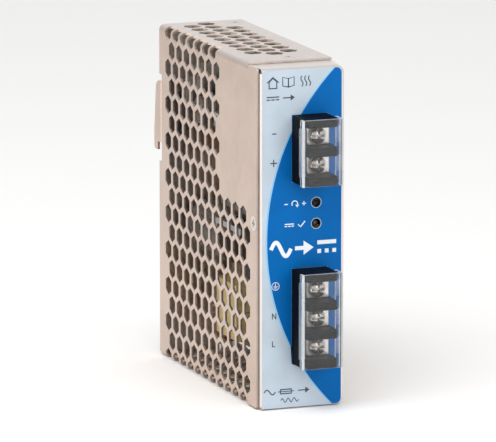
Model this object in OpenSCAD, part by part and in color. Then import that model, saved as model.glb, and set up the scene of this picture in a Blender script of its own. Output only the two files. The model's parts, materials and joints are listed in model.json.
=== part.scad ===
// Slim single-phase power supply for a 35 mm top-hat rail, in a folded sheet-metal case.
// Frame: +Z is up, -Y is the labelled front and -X the perforated side.
// The origin is the middle of the rail seat, on the outside of the back panel.
// Lengths are in millimetres.

/* [Case] */
// Width of the case, along the rail
case_w = 32; // [31:0.5:34]
// Height of the case
case_h = 121; // [120:0.5:124]
// Depth of the case, from the rail seat to the face of the front label
case_d = 101; // [100:0.5:104]
// Thickness of the folded chassis sheet
sheet = 1; // [0.8:0.1:1]
// Thickness of the perforated cover sheet
cover_t = 0.8; // [0.6:0.1:0.8]
// Outer radius of the chassis bends
bend_r = 1.25; // [1.2:0.05:1.4]
// Outer radius of the cover bends
cover_bend_r = 2; // [1.8:0.1:2.2]
// Radius of the right-hand corners of the front panel
corner_r = 3; // [2.5:0.1:3.2]
// Thickness of the front label
label_t = 0.2; // [0.1:0.05:0.25]

/* [Perforation] */
// Distance between neighbouring hexagonal holes
hole_pitch = 7.634; // [7.6:0.01:7.65]
// Width of a hexagonal hole across its flats
hole_flats = 5.9; // [5:0.1:6]
// Distance from the rail seat to the first column of holes
hole_back = 9.65; // [9:0.05:10]

/* [Terminals] */
// Distance between neighbouring terminal poles
pole_pitch = 10.16; // [10:0.02:10.2]
// Height of the middle of the direct-current terminals above the rail centre
output_z = 31.4; // [30:0.1:32]
// Height of the middle of the mains terminals above the rail centre
input_z = -27.7; // [-28:0.1:-27]
// Radius of the terminal screw heads
head_r = 2.9; // [2.6:0.1:3]
// Travel of a wire clamp
clamp_travel = 2.25; // [1.5:0.15:2.4]

/* [Rail clip] */
// Height of the rail that the case clips onto
rail_h = 35; // [34.9:0.1:35.1]
// Gap between the back panel and a rail hook
rail_gap = 1.6; // [1.4:0.1:1.8]
// Travel of the spring-loaded latch
latch_travel = 3.5; // [3:0.1:3.8]

/* [Hidden] */
$fn = 48;

POLES = ["negative", "positive", "earth", "neutral", "line"];

half_w = case_w / 2;
half_h = case_h / 2;
side_gap = 0.05;                               // between the cover and what it lies on
inner_x = -half_w + cover_t + side_gap;        // left outside face of the chassis
inner_z = half_h - cover_t - side_gap;         // top outside face of the chassis
panel_y = -case_d + label_t;                   // front face of the front panel
cover_front = -case_d + 1.9;                   // front edge of the cover's side
cover_top_front = -case_d + 11.4;               // front edge of the cover's top and bottom
cover_back = -0.5;                             // back edge of the cover
cover_right = half_w - 0.5;                    // right edge of the cover's top and bottom

// Holes: 19 rows up the side, the first and last run round the bends
hole_r = hole_flats / 2 / cos(30);
row_pitch = hole_pitch * cos(30);
side_rows = 19;
short_rows = 8;                                // rows that stop short of the blank corner
row_mid = -0.25;
short_count = 7;
full_count = 11;

// Terminals: distances in front of the label
block_x = -3.5;
block_w = 13;
block_back = panel_y + 10.8;
block_base = 1.2;
block_side = 6.9;
barrier = 10.7;
barrier_t = 3;
barrier_x = -1.9;
contact_t = 0.8;
clamp_low = 2.3;
clamp_t = 1.1;
head_h = 2.75;
screw_x = 3.9;
screw_r = 1.75;
screw_len = 9;
hinge_x = -3;
hinge_out = 8.3;
knuckle_r = 0.9;
hinge_pin_r = 0.4;
hood_x0 = -4.3;
hood_x1 = 10.9;
hood_out = 12;
hood_t = 1;

// Rail clip
notch_z0 = 10.8;
notch_z1 = 42.5;
notch_y = -2.9;
web_y = -2;
rivet_x = 8;
rivet_r = 1.5;
guide_rivet_x = 12.85;
guide_rivet_r = 0.9;
latch_z0 = -57.5;
latch_top = -rail_h / 2 - 0.4;
latch_w = 15;
latch_d = 4.9;
flange_w = 20;
flange_d = 1.8;
spring_z0 = -42;
spring_z1 = -28;
guide_z0 = -52;
guide_h = 26;

// Circuit board, upright, with its components towards -X
board_x = 9.6;
board_t = 1.6;
board_front = -97;
board_back = -6;
board_h = 108;
film_x = 13.2;
film_t = 0.4;
standoff_y = [-90, -12];
standoff_z = [-50, 50];
trimmer_x = 5.38;
trimmer_z = 12;
led_z = 4.6;
window_r = 1.75;

side_screw = [-96, 5.1];
end_screws = [[2, -82.5], [11, -5.8]];
csk_r = 2.7;
csk_low_r = csk_r - cover_t;
tap_r = 1.25;

metal = [0.80, 0.74, 0.69];
steel = [0.78, 0.78, 0.77];
black = [0.10, 0.10, 0.11];
clear = [0.75, 0.82, 0.85, 0.35];
aluminium = [0.72, 0.73, 0.75];
copper = [0.72, 0.42, 0.22];
ferrite = [0.20, 0.20, 0.21];

// Lowest point of the terminal block that a pole belongs to, and the pole's middle
function block_height(poles) = poles * pole_pitch + barrier_t;
function pole_z(i) = i < 2
    ? output_z + (0.5 - i) * pole_pitch
    : input_z + (3 - i) * pole_pitch;

// ---------------------------------------------------------------- helpers

// A plate from x0 to x0 + t whose outline is drawn in (y, z)
module slab_x(x0, t) {
    translate([x0, 0, 0]) rotate([90, 0, 90]) linear_extrude(t) children();
}

// A plate from y0 to y0 + t whose outline is drawn in (x, z)
module slab_y(y0, t) {
    translate([0, y0 + t, 0]) rotate([90, 0, 0]) linear_extrude(t) children();
}

// A plate from z0 to z0 + t whose outline is drawn in (x, y)
module slab_z(z0, t) {
    translate([0, 0, z0]) linear_extrude(t) children();
}

// A box between two corners
module block(low, high) {
    translate(low) cube(high - low);
}

// The same shape at the top and at the bottom of the case
module both_ends() {
    children();
    mirror([0, 0, 1]) children();
}

// A quarter of a ring, in the quadrant where x and y are positive
module quarter_2d(outer, inner) {
    intersection() {
        difference() {
            circle(outer);
            circle(inner);
        }
        square(outer);
    }
}

// A rectangle from x0 to x1 whose two right-hand corners are round
module right_rounded_2d(x0, x1, z0, z1, r) {
    translate([x0, z0]) square([x1 - r - x0, z1 - z0]);
    translate([x0, z0 + r]) square([x1 - x0, z1 - z0 - 2 * r]);
    for (z = [z0 + r, z1 - r]) translate([x1 - r, z]) circle(r);
}

// A rectangle with all four corners round
module rounded_2d(size, r) {
    translate([r, 0]) square([size[0] - 2 * r, size[1]]);
    translate([0, r]) square([size[0], size[1] - 2 * r]);
    for (x = [r, size[0] - r], y = [r, size[1] - r]) translate([x, y]) circle(r);
}

// The folded edge of the front panel: x is the depth, y the height below the outer face
module lip_2d(reach) {
    translate([bend_r, -bend_r]) mirror([1, 0]) quarter_2d(bend_r, bend_r - sheet);
    translate([bend_r, -sheet]) square([reach - bend_r, sheet]);
}

// Moves its children onto the board: +Z points away from it and +X upwards
module on_board(y, z) {
    translate([board_x, y, z]) rotate([0, -90, 0]) children();
}

// A countersunk cover screw with a cross recess, pointing along -Z, its face at z = 0
module cover_screw() {
    difference() {
        union() {
            translate([0, 0, -cover_t]) cylinder(h = cover_t, r1 = csk_low_r, r2 = csk_r - 0.05);
            translate([0, 0, -5]) cylinder(h = 5 - cover_t, r = tap_r - 0.05);
        }
        cross_recess(2.6, 0.7, 0.6);
    }
}

// A cross-shaped hollow, open at z = 0
module cross_recess(length, width, depth) {
    for (turn = [0, 90]) rotate(turn) {
        translate([-length / 2, -width / 2, -depth]) cube([length, width, depth + 1]);
    }
}

// The countersunk hole that takes a cover screw
module countersink() {
    translate([0, 0, -cover_t]) cylinder(h = cover_t, r1 = csk_low_r + 0.05, r2 = csk_r);
    cylinder(h = 1, r = csk_r);
    translate([0, 0, -cover_t - 1]) cylinder(h = 2, r = csk_low_r + 0.05);
}

// Puts its children at every screw of the cover, facing outwards
module at_cover_screws() {
    translate([-half_w, side_screw[0], side_screw[1]]) rotate([0, -90, 0]) children();
    for (p = end_screws) {
        translate([p[0], p[1], half_h]) children();
        translate([p[0], p[1], -half_h]) rotate([180, 0, 0]) children();
    }
}

// ---------------------------------------------------------------- case

module front_openings_2d() {
    play = 0.15;
    for (b = [[output_z, 2], [input_z, 3]]) {
        h = block_height(b[1]) + 2 * play;
        translate([block_x - play, b[0] - h / 2]) square([block_w + 2 * play, h]);
    }
    translate([trimmer_x, trimmer_z]) circle(window_r);
    translate([trimmer_x, led_z]) circle(window_r);
}

// The top edge of the front panel folded back, with its outer face at height z
module top_lip(z, tabs) {
    corner_x = half_w - corner_r;
    for (t = tabs) slab_x(t[0], t[1]) translate([panel_y, z]) lip_2d(t[2]);
    mirror([0, 0, 1]) translate([corner_x, panel_y, corner_r - z]) rotate([-90, 0, 0])
        rotate_extrude(angle = 90) translate([corner_r, 0]) mirror([1, -1]) lip_2d(5.3);
}

module front_panel() {
    corner_x = half_w - corner_r;
    lip_x = inner_x + 0.45;
    // Start, width and reach of a lip with a longer tab under the cover's front screw
    tabs = [[lip_x, corner_x - lip_x, 13.4], [-4, 12, 23]];
    slab_y(panel_y, sheet) difference() {
        right_rounded_2d(inner_x + bend_r, half_w - bend_r, bend_r - half_h, inner_z - bend_r,
            corner_r - bend_r);
        front_openings_2d();
    }
    top_lip(inner_z, tabs);
    // The bottom lip is flush with the cover, and a second step goes in under the cover
    mirror([0, 0, 1]) {
        top_lip(half_h, [[lip_x, corner_x - lip_x, 11]]);
        for (t = tabs) block([t[0], panel_y + 9, inner_z - sheet],
            [t[0] + t[1], panel_y + t[2], inner_z]);
    }
    // Left lip, under the cover, and its lower end in front of the cover's bend
    slab_z(1.5 - inner_z, 2 * inner_z - 3) translate([inner_x, panel_y]) rotate(90) lip_2d(7.2);
    slab_z(1.2 - half_h, 2) translate([inner_x, panel_y]) rotate(90) lip_2d(5);
    // Bend into the right-hand side
    slab_z(corner_r - half_h, half_h + inner_z - 2 * corner_r)
        translate([half_w, panel_y]) mirror([1, -1]) lip_2d(bend_r + 0.5);
}

module right_side() {
    top = inner_z - bend_r;
    relief_y = panel_y + 6;
    slab_x(half_w - sheet, sheet) {
        translate([panel_y + bend_r, corner_r - inner_z])
            square([-panel_y - 2 * bend_r, 2 * (inner_z - corner_r)]);
        translate([relief_y, -top]) square([-relief_y - bend_r, 2 * top]);
    }
    both_ends() {
        // Narrow flange that carries the cover's free edge
        slab_y(relief_y, -relief_y - 12)
            translate([half_w - bend_r, top]) quarter_2d(bend_r, bend_r - sheet);
        block([11.2, -87, inner_z - sheet], [half_w - bend_r, -12, inner_z]);
        block([13.1, relief_y, inner_z - sheet], [half_w - bend_r, -87, inner_z]);
    }
}

module back_panel() {
    top = inner_z - bend_r;
    tab_x = 7.5;
    left = inner_x + bend_r;
    slab_y(-sheet, sheet) {
        translate([left, -top]) square([half_w - bend_r - left, 2 * top]);
        translate([left, -inner_z]) square([tab_x - 1 - left, 2 * inner_z]);
    }
    slab_z(-top, 2 * top)
        translate([half_w - bend_r, -bend_r]) quarter_2d(bend_r, bend_r - sheet);
    both_ends() {
        slab_x(tab_x, 7) {
            translate([-bend_r, top]) quarter_2d(bend_r, bend_r - sheet);
            translate([-10, inner_z - sheet]) square([10 - bend_r, sheet]);
        }
    }
    // Left flange, interrupted where the rail bracket passes
    for (z = [[1.5 - inner_z, notch_z0], [notch_z1, inner_z - 1.5]]) {
        slab_z(z[0], z[1] - z[0]) {
            translate([left, -bend_r]) mirror([1, 0]) quarter_2d(bend_r, bend_r - sheet);
            translate([inner_x, -5.5]) square([sheet, 5.5 - bend_r]);
        }
    }
    // Stop that the latch spring stands on
    block([-1.8, 0, spring_z0 - 1.2], [1.8, 3.6, spring_z0]);
}

module chassis() {
    color(metal) difference() {
        union() {
            front_panel();
            right_side();
            back_panel();
        }
        at_cover_screws() translate([0, 0, -6]) cylinder(h = 7, r = tap_r);
        // Slot for the right-hand ear of the rail bracket
        block([half_w - bend_r - 0.05, notch_y, notch_z0], [half_w + 1, 1, notch_z1]);
        for (x = [-rivet_x, rivet_x], z = [23, 34]) translate([x, 0, z]) rotate([90, 0, 0])
            cylinder(h = 4, r = rivet_r + 0.05, center = true);
        for (x = [-1, 1], z = [-46, -32]) translate([x * guide_rivet_x, 0, z])
            rotate([90, 0, 0]) cylinder(h = 4, r = guide_rivet_r + 0.05, center = true);
        for (y = standoff_y, z = standoff_z) translate([half_w, y, z]) rotate([0, 90, 0]) {
            translate([0, 0, -sheet]) cylinder(h = sheet, r1 = 1.6, r2 = 2.7);
            translate([0, 0, -2]) cylinder(h = 3, r = 1.6);
        }
    }
}

// Centre of hole k in row i of the side, counted from the back and from the top
function side_hole(i, k) = [-hole_back - hole_pitch * (k + (i % 2) / 2),
    row_mid + row_pitch * ((side_rows - 1) / 2 - i)];
function holes_in(i) = i < short_rows ? short_count : full_count;

module cover_side_2d() {
    flat = half_h - cover_bend_r;
    tall = half_h - 0.6;
    difference() {
        union() {
            translate([cover_front, -flat]) square([cover_back - cover_front, 2 * flat]);
            translate([cover_front, -tall])
                rounded_2d([cover_top_front - cover_front - 0.4, 2 * tall], 1);
        }
        for (i = [0 : side_rows - 1], k = [0 : holes_in(i) - 1])
            translate(side_hole(i, k)) rotate(30) circle(hole_r, $fn = 6);
        translate([notch_y, notch_z0]) square([10, notch_z1 - notch_z0]);
    }
}

module cover_end_2d(bend_holes) {
    left = -half_w + cover_bend_r;
    rows = [[-1, 0, 8], [0, -1, 8], [1, 1, 8]];
    difference() {
        translate([left, cover_top_front]) square([cover_right - left, cover_back - cover_top_front]);
        for (row = rows, k = [row[1] : row[2]])
            translate([row[0] * row_pitch, -hole_back - hole_pitch * (k + (row[0] == 0 ? 0.5 : 0))])
                circle(hole_r, $fn = 6);
        for (k = [0 : bend_holes - 1])
            translate([left - hole_r / 2 + 0.15, -hole_back - hole_pitch * k])
                circle(hole_r, $fn = 6);
    }
}

module cover_bend(bend_holes) {
    window = hole_flats - 0.04;
    difference() {
        slab_y(cover_top_front, cover_back - cover_top_front)
            translate([cover_bend_r - half_w, half_h - cover_bend_r]) mirror([1, 0])
                quarter_2d(cover_bend_r, cover_bend_r - cover_t);
        for (k = [0 : bend_holes - 1]) {
            y = -hole_back - hole_pitch * k;
            block([-half_w - 1, y - window / 2, half_h - cover_bend_r - 1],
                [-half_w + cover_bend_r + 1, y + window / 2, half_h + 1]);
        }
    }
}

// The cover is one folded sheet, drawn in three pieces that meet where its bends begin
module cover() {
    color(metal) difference() {
        slab_x(-half_w, cover_t) cover_side_2d();
        at_cover_screws() countersink();
    }
}

module cover_end(bend_holes) {
    color(metal) difference() {
        union() {
            slab_z(half_h - cover_t, cover_t) cover_end_2d(bend_holes);
            cover_bend(bend_holes);
        }
        at_cover_screws() countersink();
    }
}

module cover_top() {
    cover_end(short_count);
}

module cover_bottom() {
    mirror([0, 0, 1]) cover_end(full_count);
}

module front_label() {
    color([0.66, 0.74, 0.82]) slab_y(-case_d, label_t) difference() {
        right_rounded_2d(-14.65, 14.8, -59.9, 59.1, 2);
        front_openings_2d();
    }
}

module cover_screws() {
    color(steel) at_cover_screws() cover_screw();
}

module insulation_sheet() {
    color([0.90, 0.90, 0.86, 0.8]) difference() {
        slab_x(film_x, film_t) translate([board_front + 1, -56]) square([board_back - board_front, 112]);
        for (y = standoff_y, z = standoff_z) translate([film_x - 1, y, z]) rotate([0, 90, 0])
            cylinder(h = 3, r = 3.6);
    }
}

// ---------------------------------------------------------------- rail clip

// Outline of a rail hook: up at the root, then slanting out to a tip that hangs behind the rail
module ear_2d() {
    rail_top = rail_h / 2;
    difference() {
        union() {
            polygon([[web_y + bend_r, rail_top + 0.1], [3.4, rail_top - 2], [5.1, rail_top - 1.5],
                [5.1, rail_top + 3.5], [3.2, 38.2], [1.2, 39.8], [web_y + bend_r, 39.8]]);
            translate([rail_gap, rail_top - 3]) square([3.5 - 1.2, 4]);
            translate([5.1 - 1.2, rail_top - 1.8]) circle(1.2);
            translate([rail_gap, rail_top - 2.4]) square([5.1 - rail_gap, 4]);
        }
        translate([-5, rail_top - 10]) square([5 + rail_gap, 10]);
        translate([4.3, rail_top - 3.1]) square([2, 1.3]);
    }
    translate([5.1 - 1.2, rail_top - 1.8]) circle(1.2);
}

module rail_bracket() {
    color(metal) difference() {
        union() {
            slab_y(web_y, sheet) translate([bend_r - half_w, 14])
                square([case_w - 2 * bend_r, 26]);
            for (side = [0, 1]) mirror([side, 0, 0]) {
                slab_z(rail_h / 2 + 0.1, 39.8 - rail_h / 2 - 0.1)
                    translate([half_w - bend_r, web_y + bend_r]) mirror([0, 1])
                        quarter_2d(bend_r, bend_r - sheet);
                slab_x(half_w - sheet, sheet) ear_2d();
            }
        }
        for (x = [-rivet_x, rivet_x], z = [23, 34]) translate([x, 0, z]) rotate([90, 0, 0])
            cylinder(h = 8, r = rivet_r + 0.05, center = true);
    }
}

// A domed rivet along -Y that holds two sheets, its head on the outside
module rivet(grip, shank, head, tail) {
    rotate([-90, 0, 0]) rotate_extrude() {
        translate([0, -grip]) square([shank, grip + 0.2]);
        intersection() {
            translate([0, -head]) circle(head * 1.42);
            square([head, 2]);
        }
        translate([0, -grip - 0.8]) square([tail, 0.8]);
    }
}

module case_rivets() {
    color(steel) {
        for (x = [-rivet_x, rivet_x], z = [23, 34]) translate([x, 0, z]) rivet(2, rivet_r, 2.6, 2.3);
        for (x = [-1, 1], z = [-46, -32]) translate([x * guide_rivet_x, 1, z])
            rivet(2, guide_rivet_r, 1.45, 1.25);
    }
}

// Two angled rails that hold the latch by its flanges
module latch_guides() {
    color(metal) difference() {
        for (side = [0, 1]) mirror([side, 0, 0]) slab_z(guide_z0, guide_h) {
            translate([10.3, 0]) square([4.2, 1]);
            translate([10.3, 0]) square([1, flange_d + 1.2]);
            translate([8.6, flange_d + 0.2]) square([2.7, 1]);
        }
        for (x = [-1, 1], z = [-46, -32]) translate([x * guide_rivet_x, 0, z])
            rotate([90, 0, 0]) cylinder(h = 8, r = guide_rivet_r + 0.05, center = true);
    }
}

module rail_latch() {
    tip = -rail_h / 2 + 2;
    color([0.16, 0.16, 0.17]) difference() {
        union() {
            // Sliding body with side flanges
            block([-latch_w / 2, 0.15, latch_z0], [latch_w / 2, latch_d, latch_top]);
            block([-flange_w / 2, 0.15, latch_z0], [flange_w / 2, flange_d, latch_top - 1.5]);
            // Lip that closes behind the lower edge of the rail
            slab_x(-latch_w / 2, latch_w) polygon([[rail_gap, latch_top - 1], [rail_gap, tip - 0.6],
                [rail_gap + 0.6, tip], [latch_d, latch_top], [latch_d, latch_top - 1]]);
        }
        // Pocket for the spring and its stop
        block([-2.6, -1, spring_z0 - 1.6], [2.6, 3.9, spring_z1]);
        // Slot for a screwdriver
        block([-3, -1, latch_z0 + 2], [3, latch_d + 1, latch_z0 + 4]);
        // Finger grooves
        for (i = [0 : 3]) block([-6, latch_d - 0.5, latch_z0 + 6.5 + 2 * i],
            [6, latch_d + 1, latch_z0 + 7.3 + 2 * i]);
    }
}

// A ring of points of a coil of wire, standing on its own axis
function coil_ring(r, wire, rise, turns, steps, sides, j) =
    let (t = 360 * turns * j / steps, z = rise * j / steps)
    [for (s = [0 : sides - 1]) let (a = 360 * s / sides, q = r + wire * cos(a))
        [q * cos(t), q * sin(t), z + wire * sin(a)]];

module coil(r, wire, rise, turns, steps, sides) {
    points = [for (j = [0 : steps]) each coil_ring(r, wire, rise, turns, steps, sides, j)];
    walls = [for (j = [0 : steps - 1], s = [0 : sides - 1], half = [0, 1])
        let (a = j * sides + s, b = j * sides + (s + 1) % sides)
        half == 0 ? [a, b, b + sides] : [a, b + sides, a + sides]];
    first = [for (s = [sides - 1 : -1 : 0]) s];
    last = [for (s = [0 : sides - 1]) steps * sides + s];
    polyhedron(points, concat(walls, [first, last]));
}

module latch_spring() {
    wire = 0.25;
    color(steel) translate([0, 2.1, spring_z0 + wire])
        coil(1.4, wire, spring_z1 - spring_z0 - 2 * wire, 8, 96, 6);
}

// ---------------------------------------------------------------- terminals

// Maps (x, distance in front of the label) to (x, y)
module outwards() {
    translate([0, -case_d]) mirror([0, 1]) children();
}

module terminal_block(poles, middle) {
    h = block_height(poles);
    low = middle - h / 2;
    inside = -case_d - block_back;
    color(black) difference() {
        union() {
            slab_z(low, h) outwards() {
                translate([block_x, inside]) square([block_w, block_base - inside]);
                translate([block_x, 0]) square([1.5, block_side]);
            }
            for (i = [0 : poles]) slab_z(low + i * pole_pitch, barrier_t) outwards() {
                translate([block_x, 0]) square([block_w, block_side]);
                difference() {
                    translate([barrier_x, 0]) square([block_w + block_x - barrier_x, barrier]);
                    translate([block_w + block_x, barrier]) rotate(45) square(1.4, center = true);
                }
            }
            // Hinge knuckles on the end walls
            for (z = [low, low + h - barrier_t]) slab_z(z, barrier_t) outwards() {
                translate([hinge_x, hinge_out]) circle(knuckle_r);
                translate([block_x, block_side - 0.1]) square([1.7, hinge_out - block_side]);
            }
        }
        slab_z(low - 1, h + 2) outwards() translate([hinge_x, hinge_out])
            circle(hinge_pin_r + 0.02);
        for (i = [0 : poles - 1]) {
            translate([screw_x, -case_d - block_base - 1, low + barrier_t / 2 + (i + 0.5) * pole_pitch])
                rotate([-90, 0, 0]) cylinder(h = screw_len, r = screw_r + 0.15);
        }
    }
}

module output_block() {
    terminal_block(2, output_z);
}

module input_block() {
    terminal_block(3, input_z);
}

// Clear hood over a terminal block, hinged on its left edge
module terminal_hood(poles, middle) {
    h = block_height(poles);
    low = middle - h / 2;
    play = 0.2;
    radius = 0.8;
    color(clear) difference() {
        union() {
            slab_z(low, h) outwards() {
                difference() {
                    translate([hood_x0, 5.5])
                        rounded_2d([hood_x1 - hood_x0, hood_out - 5.5], radius);
                    translate([hood_x0 + hood_t, 0])
                        square([hood_x1 - hood_x0 - 2 * hood_t, hood_out - hood_t]);
                    translate([hood_x0 - 1, 0]) square([hood_t + 1.1, hinge_out]);
                    translate([hood_x1 - hood_t - 0.1, 0]) square([hood_t + 1, 5.8]);
                }
                translate([hinge_x, hinge_out]) circle(knuckle_r);
            }
        }
        slab_z(low - 1, h + 2) outwards() translate([hinge_x, hinge_out])
            circle(hinge_pin_r + 0.06);
        // Room for the knuckles of the block
        for (z = [low - 1, low + h - barrier_t - play]) slab_z(z, barrier_t + play + 1) outwards()
            translate([hood_x0 - 1, hinge_out - 3]) square([3.6, 3 + knuckle_r + play]);
    }
}

module output_cover() {
    terminal_hood(2, output_z);
}

module input_cover() {
    terminal_hood(3, input_z);
}

module cover_hinge_pins() {
    color(steel) for (b = [[2, output_z], [3, input_z]]) {
        h = block_height(b[0]) - 0.4;
        slab_z(b[1] - h / 2, h) outwards() translate([hinge_x, hinge_out]) circle(hinge_pin_r);
    }
}

// Tapped plate on the floor of each pole, with the pin that runs back to the board
module contact(i) {
    difference() {
        translate([-1.8, -case_d - block_base - contact_t, pole_z(i) - 3.4])
            cube([11, contact_t, 6.8]);
        translate([screw_x, -case_d - 5, pole_z(i)]) rotate([-90, 0, 0])
            cylinder(h = 10, r = screw_r + 0.05);
    }
    for (dz = [-2, 2]) block([5, block_back, pole_z(i) + dz - 0.5],
        [board_x, block_back + 0.8, pole_z(i) + dz + 0.5]);
}

module output_contacts() {
    color([0.80, 0.78, 0.70]) for (i = [0, 1]) contact(i);
}

module input_contacts() {
    color([0.80, 0.78, 0.70]) for (i = [2, 3, 4]) contact(i);
}

// Square pressure plate under a screw head, with two ribs that grip the wire
module wire_clamp(i) {
    color(steel) difference() {
        union() {
            translate([0.4, -case_d - clamp_low - clamp_t, pole_z(i) - 3.4])
                cube([8.1, clamp_t, 6.8]);
            for (x = [1.2, 6.9]) translate([x, -case_d - clamp_low, pole_z(i) - 3.4])
                cube([0.8, 0.2, 6.8]);
        }
        translate([screw_x, -case_d, pole_z(i)]) rotate([90, 0, 0])
            cylinder(h = 10, r = screw_r + 0.08);
    }
}

// Screw with a cross-and-slot recess
module terminal_screw(i) {
    top = clamp_low + clamp_t + 0.05 + head_h;
    crown_r = 4.7;
    color(steel) translate([screw_x, -case_d, pole_z(i)]) rotate([90, 0, 0]) difference() {
        union() {
            // Pan head with a crown
            rotate_extrude() intersection() {
                translate([0, top - crown_r]) circle(crown_r);
                translate([0, top - head_h]) square([head_r, head_h + 1]);
            }
            translate([0, 0, top - head_h - 9]) cylinder(h = 9.5, r = screw_r);
        }
        translate([0, 0, top]) {
            cross_recess(4.4, 0.9, 1.5);
            translate([-5, -0.45, -0.9]) cube([10, 0.9, 2]);
        }
    }
}

module clamp_negative() { wire_clamp(0); }
module clamp_positive() { wire_clamp(1); }
module clamp_earth() { wire_clamp(2); }
module clamp_neutral() { wire_clamp(3); }
module clamp_line() { wire_clamp(4); }

module screw_negative() { terminal_screw(0); }
module screw_positive() { terminal_screw(1); }
module screw_earth() { terminal_screw(2); }
module screw_neutral() { terminal_screw(3); }
module screw_line() { terminal_screw(4); }

// ---------------------------------------------------------------- board and its components

module circuit_board() {
    color([0.15, 0.38, 0.22]) difference() {
        slab_x(board_x, board_t) translate([board_front, -board_h / 2])
            square([board_back - board_front, board_h]);
        for (y = standoff_y, z = standoff_z) translate([board_x - 1, y, z]) rotate([0, 90, 0])
            cylinder(h = 4, r = 1.6);
    }
}

module board_standoffs() {
    color([0.80, 0.66, 0.36]) for (y = standoff_y, z = standoff_z)
        translate([board_x + board_t, y, z]) rotate([0, 90, 0]) difference() {
            cylinder(h = half_w - sheet - board_x - board_t, r = 3, $fn = 6);
            translate([0, 0, -1]) cylinder(h = 9, r = tap_r);
        }
}

// One screw on each end of every standoff
module board_screws() {
    wall = half_w - sheet;
    color(steel) for (y = standoff_y, z = standoff_z) translate([0, y, z]) rotate([0, 90, 0]) {
        difference() {
            union() {
                translate([0, 0, board_x - 1.8]) cylinder(h = 1.8, r = 2.7);
                translate([0, 0, board_x - 0.1]) cylinder(h = board_t + 1.8, r = tap_r - 0.05);
            }
            translate([0, 0, board_x - 1.8]) rotate([180, 0, 0]) cross_recess(3, 0.7, 1);
        }
        difference() {
            union() {
                translate([0, 0, wall]) cylinder(h = sheet, r1 = 1.55, r2 = 2.65);
                translate([0, 0, wall - 1.5]) cylinder(h = 1.6, r = tap_r - 0.05);
            }
            translate([0, 0, half_w]) cross_recess(2.6, 0.7, 0.6);
        }
    }
}

// A flat disc component that stands on the board on its edge
module disc(r, t, clearance) {
    translate([-t / 2, 0, r + clearance]) rotate([0, 90, 0]) cylinder(h = t, r = r);
    for (dy = [-2.5, 2.5]) translate([-0.3, dy - 0.3, 0]) cube([0.6, 0.6, clearance + 2]);
}

// An electrolytic can with a rolled groove near its foot, lying along +Y or standing along +Z
module can(r, h) {
    rotate_extrude() polygon([[0, 0], [r - 0.4, 0], [r, 0.5], [r, 1.8], [r - 0.5, 2.4],
        [r, 3], [r, h - 0.5], [r - 0.5, h], [r - 1, h], [r - 1.2, h - 0.3], [0, h - 0.3]]);
}

// A power transistor in a flat package, its tab up: thickness along +X
module power_package() {
    cube([1.3, 10, 15]);
    translate([1.3, 0, 0]) cube([3.1, 10, 9]);
    for (dy = [1.9, 4.6, 7.3]) translate([2, dy, -4]) cube([0.6, 0.8, 4]);
}

module fuse() {
    color([0.86, 0.85, 0.80]) on_board(-84, -48) {
        translate([0, 0, 3.4]) rotate([-90, 0, 0]) cylinder(h = 20, r = 2.6);
        for (y = [1, 14]) difference() {
            translate([-3.4, y, 0]) cube([6.8, 5, 5]);
            translate([-2.7, y - 1, 0.6]) cube([5.4, 7, 6]);
        }
    }
}

module surge_varistor() {
    color([0.16, 0.30, 0.55]) on_board(-72, -38) disc(5.5, 4, 1.5);
}

module inrush_thermistor() {
    color([0.18, 0.22, 0.18]) on_board(-72, -28) disc(5.5, 3.6, 1.5);
}

module line_capacitors() {
    color([0.86, 0.78, 0.52]) for (z = [-39.6, -29.4]) on_board(-60, z - 4.9)
        translate([0, 0, 0.4]) cube([9.8, 20, 18]);
}

module filter_choke_core() {
    color(ferrite) on_board(-26, -40) translate([0, 0, 3.5]) rotate_extrude()
        translate([6, 0]) square([4.6, 7]);
}

// Two halves of copper wire round the core, with its bare core showing between them
module filter_choke_windings() {
    turns = 9;
    color(copper) on_board(-26, -40) translate([0, 0, 7]) for (side = [20, 200], i = [0 : turns - 1])
        rotate(side + i * 140 / (turns - 1)) translate([8.3, 0, 0]) rotate([90, 0, 0])
            translate([0, 0, -0.55]) linear_extrude(1.1) difference() {
                translate([-3.4, -4.6]) rounded_2d([6.8, 9.2], 1.2);
                translate([-2.35, -3.55]) square([4.7, 7.1]);
            }
}

module bridge_rectifier() {
    color(black) on_board(-64, -21.5) {
        translate([0, 0, 3]) cube([15, 3.8, 12]);
        for (x = [1.5, 5.3, 9.1, 12.9]) translate([x - 0.4, 1.5, 0]) cube([0.8, 0.8, 3]);
    }
}

module bulk_capacitor() {
    color([0.16, 0.18, 0.30]) on_board(-38, -12) translate([0, 0, 9.4]) rotate([-90, 0, 0]) can(9, 30);
}

// A finned plate of extruded aluminium that stands on the board
module heatsink(length) {
    fins = 5;
    cube([2, length, 19]);
    for (i = [0 : fins - 1]) translate([-3, 1 + i * (length - 3) / (fins - 1), 0]) cube([3, 1, 19]);
}

module primary_heatsink() {
    color(aluminium) on_board(-66, -5) heatsink(26);
}

module switching_transistor() {
    color(black) on_board(-58, -3) translate([0, 0, 4]) power_package();
}

module safety_capacitors() {
    color([0.20, 0.42, 0.66]) for (z = [6, 14, 22]) on_board(-30, z) disc(4, 2.8, 2);
}

module transformer_core() {
    color(ferrite) on_board(-52, 14) {
        for (y = [-14, 9]) translate([-12.5, y, 3]) cube([25, 5, 13]);
        for (x = [-12.5, 8]) translate([x, -9, 3]) cube([4.5, 18, 13]);
        translate([0, -9, 9.5]) rotate([-90, 0, 0]) cylinder(h = 18, r = 4);
    }
}

module transformer_bobbin() {
    color([0.12, 0.12, 0.12]) on_board(-52, 14) {
        for (y = [-8.8, 7.6]) translate([0, y, 9.5]) rotate([-90, 0, 0]) difference() {
            linear_extrude(1.2) translate([-7.6, -9]) rounded_2d([15.2, 18], 1.5);
            translate([0, 0, -1]) cylinder(h = 4, r = 4.1);
        }
        for (y = [-13.8, 10.8]) translate([-11, y, 0]) cube([22, 3, 3]);
    }
}

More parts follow.
